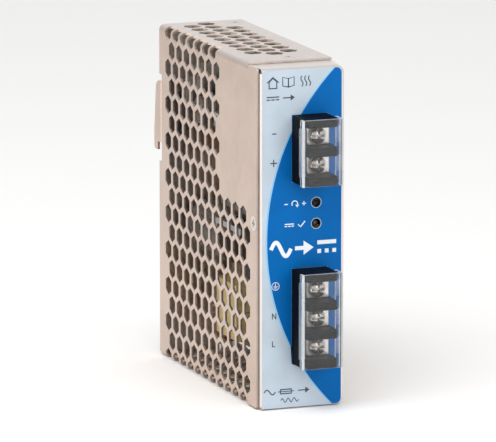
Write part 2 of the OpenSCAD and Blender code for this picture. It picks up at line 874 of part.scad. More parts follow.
module transformer_winding() {
    color([0.82, 0.68, 0.28]) on_board(-52, 14) translate([0, -7.5, 9.5]) rotate([-90, 0, 0])
        difference() {
            cylinder(h = 15, r = 7.3);
            translate([0, 0, -1]) cylinder(h = 17, r = 4.1);
        }
}

module control_chip() {
    color(black) on_board(-78, -4) {
        translate([0, 0, 0.6]) cube([9.4, 6.4, 3.4]);
        for (i = [0 : 3], y = [-0.8, 6.4]) translate([0.8 + 2.4 * i, y, 0]) cube([0.5, 0.8, 2]);
    }
}

module optocoupler() {
    color([0.90, 0.90, 0.88]) on_board(-78, 12) {
        translate([0, 0, 0.6]) cube([4.6, 6.4, 3.4]);
        for (x = [0.8, 3.3], y = [-0.8, 6.4]) translate([x, y, 0]) cube([0.5, 0.8, 2]);
    }
}

module secondary_heatsink() {
    color(aluminium) on_board(-66, 32.5) heatsink(28);
}

module output_rectifier() {
    color(black) on_board(-56, 34.5) translate([0, 0, 4]) power_package();
}

module output_capacitors() {
    color([0.13, 0.20, 0.16]) for (p = [[-26, 33], [-26, 45], [-14, 38]]) on_board(p[0], p[1])
        translate([0, 0, 0.2]) can(5, 20);
}

module output_choke_core() {
    color(ferrite) on_board(-36, 45) {
        for (z = [0.3, 12.5]) translate([0, 0, z]) cylinder(h = 1.5, r = 4.4);
        translate([0, 0, 0.3]) cylinder(h = 13.5, r = 2);
    }
}

module output_choke_winding() {
    color(copper) on_board(-36, 45) for (i = [0 : 8]) translate([0, 0, 2.5 + 1.15 * i])
        rotate_extrude() translate([2.1, -0.55]) square([1.7, 1.05]);
}

module trimmer_body() {
    color([0.16, 0.36, 0.60]) difference() {
        block([trimmer_x - 3.4, -97.4, trimmer_z - 3.3], [board_x, -91, trimmer_z + 3.3]);
        translate([trimmer_x, -98, trimmer_z]) rotate([-90, 0, 0]) cylinder(h = 3, r = 2.3);
    }
}

module trimmer_rotor() {
    color([0.92, 0.92, 0.90]) translate([trimmer_x, -95.1, trimmer_z]) rotate([90, 0, 0]) difference() {
        cylinder(h = 2.6, r = 2.2);
        translate([0, 0, 2.6]) cross_recess(3.2, 0.7, 1);
    }
}

module status_led() {
    color([0.25, 0.45, 0.22]) translate([trimmer_x, -94.5, led_z]) rotate([90, 0, 0]) {
        cylinder(h = 1, r = 1.9);
        cylinder(h = 4, r = 1.5);
        translate([0, 0, 4]) sphere(1.5);
    }
    color(black) block([trimmer_x - 1.8, -94.5, led_z - 1.8], [board_x, -91, led_z + 1.8]);
}

// ---------------------------------------------------------------- drawing

chassis();
cover();
cover_top();
cover_bottom();
front_label();
cover_screws();
insulation_sheet();
rail_bracket();
case_rivets();
latch_guides();
rail_latch();
latch_spring();
output_block();
input_block();
output_cover();
input_cover();
cover_hinge_pins();
output_contacts();
input_contacts();
clamp_negative();
clamp_positive();
clamp_earth();
clamp_neutral();
clamp_line();
screw_negative();
screw_positive();
screw_earth();
screw_neutral();
screw_line();
circuit_board();
board_standoffs();
board_screws();
fuse();
surge_varistor();
inrush_thermistor();
line_capacitors();
filter_choke_core();
filter_choke_windings();
bridge_rectifier();
bulk_capacitor();
primary_heatsink();
switching_transistor();
safety_capacitors();
transformer_core();
transformer_bobbin();
transformer_winding();
control_chip();
optocoupler();
secondary_heatsink();
output_rectifier();
output_capacitors();
output_choke_core();
output_choke_winding();
trimmer_body();
trimmer_rotor();
status_led();
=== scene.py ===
import json
import math

import bmesh
import bpy
from mathutils import Matrix, Vector


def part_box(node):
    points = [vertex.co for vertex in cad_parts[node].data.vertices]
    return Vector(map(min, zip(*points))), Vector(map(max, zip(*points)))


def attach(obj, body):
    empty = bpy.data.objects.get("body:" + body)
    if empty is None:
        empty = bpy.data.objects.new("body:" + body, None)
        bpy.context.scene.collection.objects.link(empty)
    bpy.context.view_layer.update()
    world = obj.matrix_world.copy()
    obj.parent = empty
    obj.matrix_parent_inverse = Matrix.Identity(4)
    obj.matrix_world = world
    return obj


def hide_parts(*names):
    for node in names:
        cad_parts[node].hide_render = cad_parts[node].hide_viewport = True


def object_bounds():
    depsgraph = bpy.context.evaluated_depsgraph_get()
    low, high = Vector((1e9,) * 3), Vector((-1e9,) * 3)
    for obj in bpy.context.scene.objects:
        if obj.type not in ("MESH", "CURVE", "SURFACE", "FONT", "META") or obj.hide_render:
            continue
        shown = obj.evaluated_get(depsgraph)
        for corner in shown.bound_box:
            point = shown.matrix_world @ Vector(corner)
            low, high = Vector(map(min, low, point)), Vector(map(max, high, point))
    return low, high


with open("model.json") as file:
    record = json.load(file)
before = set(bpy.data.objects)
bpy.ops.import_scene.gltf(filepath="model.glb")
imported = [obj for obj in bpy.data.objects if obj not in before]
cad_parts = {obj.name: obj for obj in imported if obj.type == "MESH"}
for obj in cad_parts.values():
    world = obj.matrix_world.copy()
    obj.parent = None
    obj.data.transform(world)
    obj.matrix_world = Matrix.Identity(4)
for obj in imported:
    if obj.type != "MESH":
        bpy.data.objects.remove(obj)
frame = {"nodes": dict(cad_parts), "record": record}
CAD_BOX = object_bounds()
NODES = frame["nodes"]

# Places on the front panel, in metres
LABEL_LOW, LABEL_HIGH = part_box("front_label")
LABEL_FACE = LABEL_LOW.y
POLES = ("negative", "positive", "earth", "neutral", "line")
NEGATIVE_Z = 0.03648
POSITIVE_Z = 0.02632
EARTH_Z = -0.01754
NEUTRAL_Z = -0.0277
LINE_Z = -0.03786
BLOCK_LEFT = -0.0035
BLOCK_RIGHT = 0.0095
WINDOW_X = 0.00538
TRIMMER_Z = 0.012
LED_Z = 0.0046
WINDOW_RADIUS = 0.00175

# Widths of the rounded edges
COVER_EDGE = 0.00007
PANEL_EDGE = 0.00010
HOOD_EDGE = 0.00013
CLAMP_EDGE = 0.00015
SCREW_EDGE = 0.00008
PLAIN_EDGES = {
    "rail_bracket": 0.00012,
    "latch_guides": 0.00012,
    "rail_latch": 0.0002,
    "output_block": 0.00018,
    "input_block": 0.00018,
}

# Where the chassis and the cover keep their edges sharp, and what counts as a narrow face
LOWER_FOLD_Z = -0.0585
LOWER_FOLD_Y = -0.0985
COVER_FLAT = 0.0583
COVER_FLAT_X = 0.0138
COVER_STRIP = 0.0011
HOOD_STRIP = 0.00105
WINDOW_WALL_DEPTH = 0.0015
WINDOW_WALL_REACH = 0.003

# Printed artwork
INK = 0.00003           # height of a printed layer above the label
INK_LINE = 0.00034
ARC_CENTRE = (0.071, -0.0008)
ARC_RADIUS = 0.0838
ARC_LINE = 0.0006
ARC_STEPS = 60
FIELD_MARGIN = 0.0001
FIELD_PLAY = 0.0002
FIELD_CORNER = 0.002
CORNER_STEPS = 8

# Stage: name, place, size, power and colour of each lamp or card
STUDIO_MIDDLE = (0, -0.05, 0)
WORLD_COLOR = (1.0, 0.997, 0.99, 1.0)
WORLD_STRENGTH = 0.74
LIGHTS = (
    ("key", (-0.5, -0.6, 1.1), (0.9, 0.9), 9.0, (1, 1, 1)),
    ("side", (-1.3, -0.2, 0.35), (0.8, 0.9), 5.0, (1.0, 0.95, 0.9)),
    ("front", (0.35, -1.3, 0.45), (0.7, 0.7), 4.0, (1, 1, 1)),
    ("back_card", (0.6, 1.7, 0.55), (1.6, 0.8), 1.0, (0.96, 0.98, 1.0)),
)
FLOOR_HALF = 12.0

# View
AZIMUTH = math.radians(-20.66)
ELEVATION = math.radians(11.02)
DISTANCE = 2.169
LENS = 445.0
SENSOR = 36.0
CENTRE = Vector((0, -0.0505, 0))
OFFSET = (-0.00077, -0.00336)      # right and up, so that the case sits where the view frames it

# ------------------------------------------------------------------ shader building


class Shade:
    """Builds one procedural material on a Principled shader, with object coordinates in metres."""

    def __init__(self, name, **sockets):
        self.material = bpy.data.materials.new(name)
        self.material.use_nodes = True
        self.tree = self.material.node_tree
        self.bsdf = self.tree.nodes["Principled BSDF"]
        self.coords = self.tree.nodes.new("ShaderNodeTexCoord").outputs["Object"]
        for key, value in sockets.items():
            self.bsdf.inputs[key.replace("_", " ")].default_value = value

    def node(self, kind, inputs=(), **settings):
        made = self.tree.nodes.new("ShaderNode" + kind)
        for key, value in settings.items():
            setattr(made, key, value)
        for key, value in dict(inputs).items():
            if isinstance(value, bpy.types.NodeSocket):
                self.tree.links.new(value, made.inputs[key])
            else:
                made.inputs[key].default_value = value
        return made

    def set(self, socket, value):
        self.tree.links.new(value, self.bsdf.inputs[socket])

    def stretched(self, stretch):
        return self.node("Mapping", {"Vector": self.coords, "Scale": stretch}).outputs["Vector"]

    def noise(self, size, detail=3.0, stretch=(1, 1, 1), roughness=0.5, distortion=0.0):
        """Noise whose blobs are about `size` metres across."""
        inputs = {
            "Vector": self.stretched(stretch),
            "Scale": 1.0 / size,
            "Detail": detail,
            "Roughness": roughness,
            "Distortion": distortion,
        }
        return self.node("TexNoise", inputs).outputs["Fac"]

    def cells(self, size, stretch=(1, 1, 1), feature="F1"):
        inputs = {"Vector": self.stretched(stretch), "Scale": 1.0 / size}
        return self.node("TexVoronoi", inputs, feature=feature).outputs["Distance"]

    def remap(self, value, low, high, to_low, to_high):
        inputs = {"Value": value, 1: low, 2: high, 3: to_low, 4: to_high}
        return self.node("MapRange", inputs).outputs["Result"]

    def mix(self, factor, a, b):
        made = self.node("Mix", data_type="RGBA", clamp_factor=True)
        for index, value in ((0, factor), (6, a), (7, b)):
            if isinstance(value, bpy.types.NodeSocket):
                self.tree.links.new(value, made.inputs[index])
            else:
                made.inputs[index].default_value = value
        return made.outputs[2]

    def math(self, operation, a, b=0.0):
        return self.node("Math", {0: a, 1: b}, operation=operation).outputs["Value"]

    def bump(self, height, depth, strength=1.0):
        """Bump `depth` metres deep."""
        inputs = {"Height": height, "Strength": strength, "Distance": depth}
        normal = self.node("Bump", inputs).outputs["Normal"]
        self.set("Normal", normal)
        return normal

    def corner_occlusion(self, reach=0.002):
        """1 in the open, lower in corners; it masks painted shade on the metals and dust on the plastics.
        """
        inputs = {"Distance": reach}
        return self.node("AmbientOcclusion", inputs, samples=6).outputs["AO"]


def rgb(r, g, b):
    return (r, g, b, 1.0)


def scaled(color, factor, lift=0.0):
    """The colour made darker or lighter, then raised by lift."""
    return tuple(min(1.0, factor * v + lift) for v in color[:3]) + (1.0,)


# ------------------------------------------------------------------ materials


def sheet_metal(name, light, dark, roughness=0.33, shade_and_grime=0.45, paler=()):
    """Plated sheet: fine rolling grain up the sheet, faint blotches and handling marks, and painted shade
    with some soiling darkening its corners.

    paler lists an axis, +1 or -1 along it, and the tone of the faces that look that way: painted light,
    which makes those faces paler as if lit more.
    """
    s = Shade(name, Metallic=1.0)
    grain = s.noise(0.00035, 4.0, (1, 1, 0.06))
    blotch = s.noise(0.018, 3.0, distortion=0.6)
    smudge = s.noise(0.006, 5.0, distortion=1.5)
    tone = s.mix(s.remap(blotch, 0.35, 0.65, 0.0, 1.0), light, dark)
    # Painted light: faces turned along the given axis blend to a paler tone, as if lit more.
    for axis, sign, painted_lit_tone in paler:
        normal = s.node("NewGeometry").outputs["Normal"]
        facing = s.node("SeparateXYZ", {"Vector": normal}).outputs[axis]
        tone = s.mix(s.remap(facing, 0.1 * sign, 0.9 * sign, 0.0, 1.0), tone, painted_lit_tone)
    # Painted shade with some soiling: corners and creases, found by occlusion, darken towards a deep copy
    # of the metal.
    edge = s.remap(s.corner_occlusion(0.0015), 0.55, 0.95, shade_and_grime, 0.0)
    s.set("Base Color", s.mix(edge, tone, scaled(dark, 0.45)))
    grained = s.remap(grain, 0.3, 0.7, -0.05, 0.05)
    smudged = s.remap(smudge, 0.3, 0.7, -0.04, 0.07)
    s.set("Roughness", s.math("ADD", s.math("ADD", grained, smudged), roughness))
    s.bump(grain, 0.000006)
    return s.material


def plated(name, color=rgb(0.56, 0.54, 0.51), roughness=0.22, shade_and_grime_level=0.7):
    """Bright nickel plate with fine tool marks, and painted shade with a little soiling in its corners and
    recesses.
    """
    s = Shade(name, Metallic=1.0)
    marks = s.noise(0.0002, 5.0)
    wear = s.noise(0.0012, 4.0)
    # Painted shade with a little soiling: corners and recesses, found by occlusion, go towards a near-black
    # brown.
    shade_and_grime = s.remap(s.corner_occlusion(0.0012), 0.35, 0.9, shade_and_grime_level, 0.0)
    worn = s.mix(s.remap(wear, 0.4, 0.7, 0.0, 0.35), color, scaled(color, 0.75))
    s.set("Base Color", s.mix(shade_and_grime, worn, rgb(0.10, 0.095, 0.085)))
    s.set("Roughness", s.remap(wear, 0.3, 0.75, roughness - 0.06, roughness + 0.12))
    s.bump(marks, 0.000008)
    return s.material


def moulded(name, color, roughness=0.45, grain=0.00018, depth=0.000012, spec=0.5, lift=0.012):
    """Moulded plastic with a fine spark texture, dust in the corners and slight rubbing.

    lift is how much paler the rubbed places are.
    """
    s = Shade(name, Specular_IOR_Level=spec)
    texture = s.noise(grain, 3.0)
    rub = s.noise(0.004, 4.0, distortion=0.8)
    dust = s.remap(s.corner_occlusion(0.002), 0.3, 0.85, 0.35, 0.0)
    tone = s.mix(s.remap(rub, 0.45, 0.75, 0.0, 0.5), color, scaled(color, 1.35, lift))
    s.set("Base Color", s.mix(dust, tone, scaled(color, 0.6, 4 * lift)))
    s.set("Roughness", s.remap(rub, 0.3, 0.7, roughness - 0.06, roughness + 0.1))
    s.bump(texture, depth)
    return s.material


def clear_plastic(name):
    """Clear plastic with faint haze and hairline scratches; its index is low, for a weak reflection."""
    s = Shade(name, IOR=1.42, Transmission_Weight=1.0)
    haze = s.noise(0.004, 4.0, distortion=1.0)
    lines = s.noise(0.0006, 3.0, (1, 1, 0.08))
    s.set("Base Color", s.mix(haze, rgb(0.93, 0.95, 0.96), rgb(0.98, 0.99, 1.0)))
    s.set("Roughness", s.remap(haze, 0.3, 0.75, 0.01, 0.09))
    s.bump(lines, 0.000004)
    return s.material


def frosted_highlight(name):
    """The sawn or moulded edge of clear plastic: a rough, partly clear finish, made whitish as a painted
    highlight for the bright lines these edges show.
    """
    s = Shade(name, IOR=1.5, Transmission_Weight=0.45, Roughness=0.35)
    cloud = s.noise(0.0008, 4.0)
    # Painted highlight: a whitish colour on the edge faces draws the bright lines round the hood plates.
    s.set("Base Color", s.mix(cloud, rgb(0.55, 0.60, 0.66), rgb(0.80, 0.84, 0.88)))
    s.set("Roughness", s.remap(cloud, 0.3, 0.7, 0.25, 0.5))
    s.bump(cloud, 0.00001)
    return s.material


def printed_film(name, color, roughness=0.4):
    """Printed polyester: an even colour with a soft mottle and a slight orange peel."""
    s = Shade(name, Specular_IOR_Level=0.08)
    mottle = s.noise(0.009, 4.0)
    peel = s.noise(0.0012, 2.0)
    s.set("Base Color", s.mix(s.remap(mottle, 0.35, 0.65, 0.0, 1.0), color, scaled(color, 0.93)))
    s.set("Roughness", s.remap(peel, 0.3, 0.7, roughness - 0.04, roughness + 0.06))
    s.bump(peel, 0.000003)
    return s.material


def laminate(name):
    """Solder mask over glass fibre: weave, and slightly raised copper tracks in blocks."""
    s = Shade(name, Specular_IOR_Level=0.5)
    weave = s.noise(0.0005, 2.0, (1, 1, 3))
    tracks = s.cells(0.007, (1, 1, 1.6))
    copper = s.remap(tracks, 0.42, 0.46, 0.0, 1.0)
    s.set("Base Color", s.mix(copper, rgb(0.20, 0.13, 0.06), rgb(0.34, 0.24, 0.12)))
    s.set("Roughness", s.remap(weave, 0.3, 0.7, 0.28, 0.42))
    s.bump(s.math("ADD", s.math("MULTIPLY", weave, 0.3), copper), 0.00003)
    return s.material


def fired(name, color, roughness=0.5):
    """Ferrite or ceramic: speckled, finely pitted."""
    s = Shade(name)
    speck = s.noise(0.0004, 5.0)
    pits = s.cells(0.0006)
    s.set("Base Color", s.mix(s.remap(speck, 0.4, 0.7, 0.0, 1.0), color, scaled(color, 1.5, 0.01)))
    s.set("Roughness", s.remap(speck, 0.3, 0.7, roughness - 0.1, roughness + 0.1))
    s.bump(pits, 0.00002, 0.5)
    return s.material


def wire_enamel(name):
    """Enamelled copper: darker and lighter turns under a glossy coat."""
    s = Shade(name, Metallic=1.0, Coat_Weight=0.5, Coat_Roughness=0.1)
    turns = s.noise(0.0012, 3.0)
    s.set("Base Color", s.mix(turns, rgb(0.42, 0.15, 0.05), rgb(0.72, 0.32, 0.12)))
    s.set("Roughness", s.remap(turns, 0.3, 0.7, 0.2, 0.36))
    s.bump(turns, 0.00001)
    return s.material


# Painted light: the upward faces of the case blend to a paler, cooler tone than its sides.
case_metal = sheet_metal(
    "case_metal", rgb(0.655, 0.522, 0.445), rgb(0.60, 0.475, 0.405),
    paler=[("Z", 1, rgb(0.70, 0.635, 0.605))],
)
# Painted light: the panel's forward and top faces take this paler tone, as if lit more.
panel_painted_light = rgb(0.80, 0.75, 0.73)
panel_metal = sheet_metal(
    "panel_metal", rgb(0.68, 0.56, 0.49), rgb(0.62, 0.51, 0.445), 0.36, 0.3,
    [("Y", -1, panel_painted_light), ("Z", 1, panel_painted_light)],
)
steel_plate = plated("plated_steel")
# Painted shade on a raw cut edge: the cover's front edge faces take this darker tone.
shaded_cut_edge = sheet_metal("shaded_cut_edge", rgb(0.54, 0.48, 0.44), rgb(0.44, 0.39, 0.35), 0.45)
# Painted shade: the walls inside the two round windows are near black, standing in for the shade in the
# holes.
window_wall_shade = sheet_metal("window_wall_shade", rgb(0.16, 0.15, 0.15), rgb(0.11, 0.10, 0.10), 0.5)
clamp_plate = plated("plated_clamp", rgb(0.86, 0.80, 0.74), 0.3)
# Painted shade: at full level the occlusion mask turns the screw heads' recesses near black.
screw_plate = plated("plated_screw", rgb(0.62, 0.56, 0.52), 0.2, 1.0)
dimple_plate = sheet_metal("dimple_plate", rgb(0.82, 0.75, 0.70), rgb(0.74, 0.67, 0.62), 0.45, 0.15)
tin_plate = plated("tin_plate", rgb(0.50, 0.48, 0.42), 0.34)
turned_brass = plated("turned_brass", rgb(0.78, 0.58, 0.25), 0.25)
extrusion = sheet_metal("heatsink_aluminium", rgb(0.62, 0.63, 0.65), rgb(0.52, 0.53, 0.55), 0.42)
black_plastic = moulded("black_plastic", rgb(0.002, 0.003, 0.0045), 0.5, spec=0.05, lift=0.003)
latch_plastic = moulded("latch_plastic", rgb(0.022, 0.022, 0.024), 0.5)
package_black = moulded("package_black", rgb(0.02, 0.02, 0.022), 0.55, 0.0001)
package_white = moulded("package_white", rgb(0.72, 0.72, 0.69), 0.45)
hood_plastic = clear_plastic("clear_plastic")
frosted_edge_highlight = frosted_highlight("frosted_edge_highlight")
label_pale = printed_film("label_pale", rgb(0.475, 0.555, 0.635))
label_blue = printed_film("label_blue", rgb(0.0, 0.118, 0.395))
label_line = printed_film("label_line", rgb(0.25, 0.52, 0.76))
label_white = printed_film("label_white", rgb(0.76, 0.80, 0.84))
label_ink = printed_film("label_ink", rgb(0.075, 0.085, 0.10))
film_milky = moulded("insulation_film", rgb(0.62, 0.62, 0.57), 0.35)
board_tan = laminate("board_laminate")
fuse_glaze = fired("fuse_ceramic", rgb(0.72, 0.70, 0.63), 0.35)
ferrite = fired("ferrite", rgb(0.10, 0.095, 0.09), 0.5)
copper_wire = wire_enamel("copper_wire")
disc_blue = moulded("disc_blue", rgb(0.02, 0.09, 0.28), 0.3, 0.0006, 0.00003)
disc_green = moulded("disc_green", rgb(0.06, 0.065, 0.05), 0.35, 0.0006, 0.00003)
box_yellow = moulded("capacitor_case", rgb(0.60, 0.46, 0.20), 0.4)
sleeve = moulded("capacitor_sleeve", rgb(0.13, 0.115, 0.10), 0.25, 0.002, 0.00001)
tape = moulded("winding_tape", rgb(0.58, 0.48, 0.30), 0.28, 0.002, 0.00002)
trimmer_blue = moulded("trimmer_blue", rgb(0.02, 0.10, 0.32), 0.4)
trimmer_white = moulded("trimmer_white", rgb(0.10, 0.09, 0.08), 0.45)
led_lens = moulded("led_lens", rgb(0.010, 0.022, 0.014), 0.16)

FINISH = {
    "chassis": panel_metal,
    "cover": case_metal,
    "cover_top": case_metal,
    "cover_bottom": case_metal,
    "rail_bracket": case_metal,
    "latch_guides": case_metal,
    "front_label": label_pale,
    "cover_screws": dimple_plate,
    "case_rivets": steel_plate,
    "latch_spring": steel_plate,
    "cover_hinge_pins": steel_plate,
    "board_screws": steel_plate,
    "output_contacts": tin_plate,
    "input_contacts": tin_plate,
    "output_block": black_plastic,
    "input_block": black_plastic,
    "rail_latch": latch_plastic,
    "transformer_bobbin": package_black,
    "output_cover": hood_plastic,
    "input_cover": hood_plastic,
    "insulation_sheet": film_milky,
    "circuit_board": board_tan,
    "board_standoffs": turned_brass,
    "fuse": fuse_glaze,
    "surge_varistor": disc_blue,
    "safety_capacitors": disc_blue,
    "inrush_thermistor": disc_green,
    "line_capacitors": box_yellow,
    "filter_choke_core": ferrite,
    "transformer_core": ferrite,
    "output_choke_core": ferrite,
    "filter_choke_windings": copper_wire,
    "output_choke_winding": copper_wire,
    "bridge_rectifier": package_black,
    "switching_transistor": package_black,
    "control_chip": package_black,
    "output_rectifier": package_black,
    "optocoupler": package_white,
    "bulk_capacitor": sleeve,
    "output_capacitors": sleeve,
    "primary_heatsink": extrusion,
    "secondary_heatsink": extrusion,
    "transformer_winding": tape,
    "trimmer_body": trimmer_blue,
    "trimmer_rotor": trimmer_white,
    "status_led": led_lens,
}
for pole in POLES:
    FINISH["clamp_" + pole] = clamp_plate
    FINISH["screw_" + pole] = screw_plate

BODY_OF = {}
for body, members in frame["record"]["behaviour"]["bodies"].items():
    for member in members:
        BODY_OF[member] = body

for name, piece in NODES.items():
    piece.data.materials.clear()
    piece.data.materials.append(FINISH[name])

# ------------------------------------------------------------------ finished copies of CAD nodes


def finish_mesh(piece, smooth_angle=35.0):
    """Smooth shading between soft edges, with large faces kept flat."""
    for face in piece.data.polygons:
        face.use_smooth = True
    piece.data.set_sharp_from_angle(angle=math.radians(smooth_angle))
    weighted = piece.modifiers.new("flat_faces", "WEIGHTED_NORMAL")
    weighted.keep_sharp = True


def softened(node, width, segments=2, angle=40.0, keep=None, second=None, chosen=None):
    """Replaces a CAD node by the same shape with its sharp edges rounded over.

    keep tells which edges may be rounded; chosen tells which faces take the second material.
    """
    mesh = bmesh.new()
    mesh.from_mesh(NODES[node].data)
    bmesh.ops.remove_doubles(mesh, verts=mesh.verts, dist=0.000002)
    bmesh.ops.dissolve_limit(
        mesh, angle_limit=math.radians(0.3), verts=mesh.verts, edges=mesh.edges, delimit=set()
    )
    limit = math.radians(angle)
    edges = [e for e in mesh.edges if len(e.link_faces) == 2 and e.calc_face_angle() > limit]
    if keep:
        edges = [e for e in edges if keep(e)]
    if chosen:
        for face in mesh.faces:
            face.material_index = 1 if chosen(face) else 0
    bmesh.ops.bevel(
        mesh, geom=edges, offset=width, offset_type="OFFSET", segments=segments, profile=0.5,
        affect="EDGES", clamp_overlap=False, material=-1,
    )
    data = bpy.data.meshes.new(node + "_finished")
    mesh.to_mesh(data)
    mesh.free()
    piece = bpy.data.objects.new(node + "_finished", data)
    bpy.context.scene.collection.objects.link(piece)
    data.materials.append(FINISH[node])
    if second:
        data.materials.append(second)
    finish_mesh(piece)
    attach(piece, BODY_OF[node])
    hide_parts(node)
    return piece


def strip_width(face):
    """About the width of a long narrow face."""
    return 2 * face.calc_area() / face.calc_perimeter()


def above_lower_fold(edge):
    """Edges of the chassis clear of the fold under the front panel, whose steps are too small to round."""
    return all(v.co.z > LOWER_FOLD_Z or v.co.y > LOWER_FOLD_Y for v in edge.verts)


def away_from_bends(edge):
    """Edges of the cover on its flat parts, clear of where its pieces meet."""
    return all(abs(v.co.z) < COVER_FLAT or v.co.x > -COVER_FLAT_X for v in edge.verts)


def front_edge(face):
    """The cut edge of the cover that faces the front."""
    return face.normal.y < -0.9 and strip_width(face) < COVER_STRIP


def window_wall(face):
    """The inside of the two round windows in the front panel."""
    middle = face.calc_center_median()
    return abs(face.normal.y) < 0.5 and middle.y < LABEL_FACE + WINDOW_WALL_DEPTH and any(
        math.hypot(middle.x - WINDOW_X, middle.z - z) < WINDOW_WALL_REACH for z in (TRIMMER_Z, LED_Z)
    )


def plate_edge(face):
    """The narrow faces round the plates of a hood."""
    return strip_width(face) < HOOD_STRIP


for node in ("cover", "cover_top", "cover_bottom"):
    softened(node, COVER_EDGE, keep=away_from_bends, second=shaded_cut_edge, chosen=front_edge)
softened("chassis", PANEL_EDGE, keep=above_lower_fold, second=window_wall_shade, chosen=window_wall)
for node, width in PLAIN_EDGES.items():
    softened(node, width)
for node in ("output_cover", "input_cover"):
    softened(node, HOOD_EDGE, second=frosted_edge_highlight, chosen=plate_edge)
for pole in POLES:
    softened("clamp_" + pole, CLAMP_EDGE)
    softened("screw_" + pole, SCREW_EDGE)

# ------------------------------------------------------------------ printed artwork


def arc_x(z):
    """Where the edge of the blue field lies at height z."""
    return ARC_CENTRE[0] - math.sqrt(ARC_RADIUS ** 2 - (z - ARC_CENTRE[1]) ** 2)


def flat_piece(name, outlines, layer, material):
    """Outlines in (x, z) on the label, filled, with the outlines inside them left open."""
    curve = bpy.data.curves.new(name, "CURVE")
    curve.dimensions = "2D"
    curve.fill_mode = "BOTH"
    curve.extrude = INK / 2
    for outline in outlines:
        spline = curve.splines.new("POLY")
        spline.points.add(len(outline) - 1)
        for point, (x, z) in zip(spline.points, outline):
            point.co = (x, z, 0.0, 1.0)
        spline.use_cyclic_u = True
    source = bpy.data.objects.new(name + "_source", curve)
    bpy.context.scene.collection.objects.link(source)
    bpy.context.view_layer.update()
    depsgraph = bpy.context.evaluated_depsgraph_get()
    mesh = bpy.data.meshes.new_from_object(source.evaluated_get(depsgraph))
    bpy.data.objects.remove(source)
    turn = Matrix.Rotation(math.pi / 2, 4, "X")
    mesh.transform(Matrix.Translation((0, LABEL_FACE - INK * (layer - 0.5), 0)) @ turn)
    piece = bpy.data.objects.new(name, mesh)
    bpy.context.scene.collection.objects.link(piece)
    mesh.materials.clear()
    mesh.materials.append(material)
    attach(piece, "root")
    return piece


def ring(x, z, radius, steps=40):
    return [
        (x + radius * math.cos(2 * math.pi * i / steps), z + radius * math.sin(2 * math.pi * i / steps))
        for i in range(steps)
    ]


def rectangle(x0, z0, x1, z1):
    return [(x0, z0), (x1, z0), (x1, z1), (x0, z1)]


def bar(x, z, width, height):
    return rectangle(x - width / 2, z - height / 2, x + width / 2, z + height / 2)


def ribbon(points, width):
    """The outline of a line of even width through the points."""
    left, right = [], []
    for i, point in enumerate(points):
        before = Vector(points[max(i - 1, 0)])
        after = Vector(points[min(i + 1, len(points) - 1)])
        along = (after - before).normalized()
        across = Vector((-along.y, along.x)) * width / 2
        left.append(tuple(Vector(point) + across))
        right.append(tuple(Vector(point) - across))
    return left + right[::-1]


def wave(x, z, width, height, line, steps=32):
    """A sine sign of one period."""
    points = []
    for i in range(steps + 1):
        t = i / steps
        points.append((x + width * (t - 0.5), z + height / 2 * math.sin(2 * math.pi * t)))
    return ribbon(points, line)


def moved(outline, x, z):
    return [(x + px, z + pz) for px, pz in outline]


def direct_current(x, z, width, line):
    """A full line over a line of three dashes."""
    gap = line * 1.1
    dash = (width - 2 * line) / 3
    shapes = [bar(x, z + gap, width, line)]
    for side in (-1, 0, 1):
        shapes.append(bar(x + side * (dash + line), z - gap, dash, line))
    return shapes


def openings(play):
    """Outlines of what the label leaves open, grown by play."""
    shapes = []
    for node in ("output_block", "input_block"):
        low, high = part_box(node)
        shapes.append(rectangle(BLOCK_LEFT - play, low.z - play, BLOCK_RIGHT + play, high.z + play))
    for z in (TRIMMER_Z, LED_Z):
        shapes.append(ring(WINDOW_X, z, WINDOW_RADIUS + play))
    return shapes


def blue_field():
    """The blue area right of the arc, rounded at the label's two right-hand corners."""
    right = LABEL_HIGH.x - FIELD_MARGIN
    low = LABEL_LOW.z + FIELD_MARGIN
    high = LABEL_HIGH.z - FIELD_MARGIN
    heights = [high + (low - high) * i / ARC_STEPS for i in range(ARC_STEPS + 1)]
    arc = [(arc_x(z), z) for z in heights]
    corners = []
    for start, z in ((-90, low + FIELD_CORNER), (0, high - FIELD_CORNER)):
        for i in range(CORNER_STEPS + 1):
            a = math.radians(start + 90 * i / CORNER_STEPS)
            x = right - FIELD_CORNER + FIELD_CORNER * math.cos(a)
            corners.append((x, z + FIELD_CORNER * math.sin(a)))
    flat_piece("label_blue_field", [arc + corners] + openings(FIELD_PLAY), 1, label_blue)
    outer = [(x - ARC_LINE, z) for x, z in arc]
    flat_piece("label_arc_line", [outer + arc[::-1]], 1, label_line)


def letter_n(x, z, h, line):
    w = 0.78 * h
    top, low = z + h / 2, z - h / 2
    left, right = x - w / 2, x + w / 2
    slant = line * 1.25
    return [
        (left, low), (left + line, low), (left + line, top - slant * 1.4), (right - line, low),
        (right, low), (right, top), (right - line, top), (right - line, low + slant * 1.4),
        (left + line, top), (left, top),
    ]


def letter_l(x, z, h, line):
    w = 0.56 * h
    top, low = z + h / 2, z - h / 2
    left, right = x - w / 2, x + w / 2
    return [
        (left, low), (right, low), (right, low + line),
        (left + line, low + line), (left + line, top), (left, top),
    ]


def plus(x, z, size, line):
    a, b = size / 2, line / 2
    corners = [
        (-a, -b), (-b, -b), (-b, -a), (b, -a), (b, -b), (a, -b),
        (a, b), (b, b), (b, a), (-b, a), (-b, b), (-a, b),
    ]
    return moved(corners, x, z)


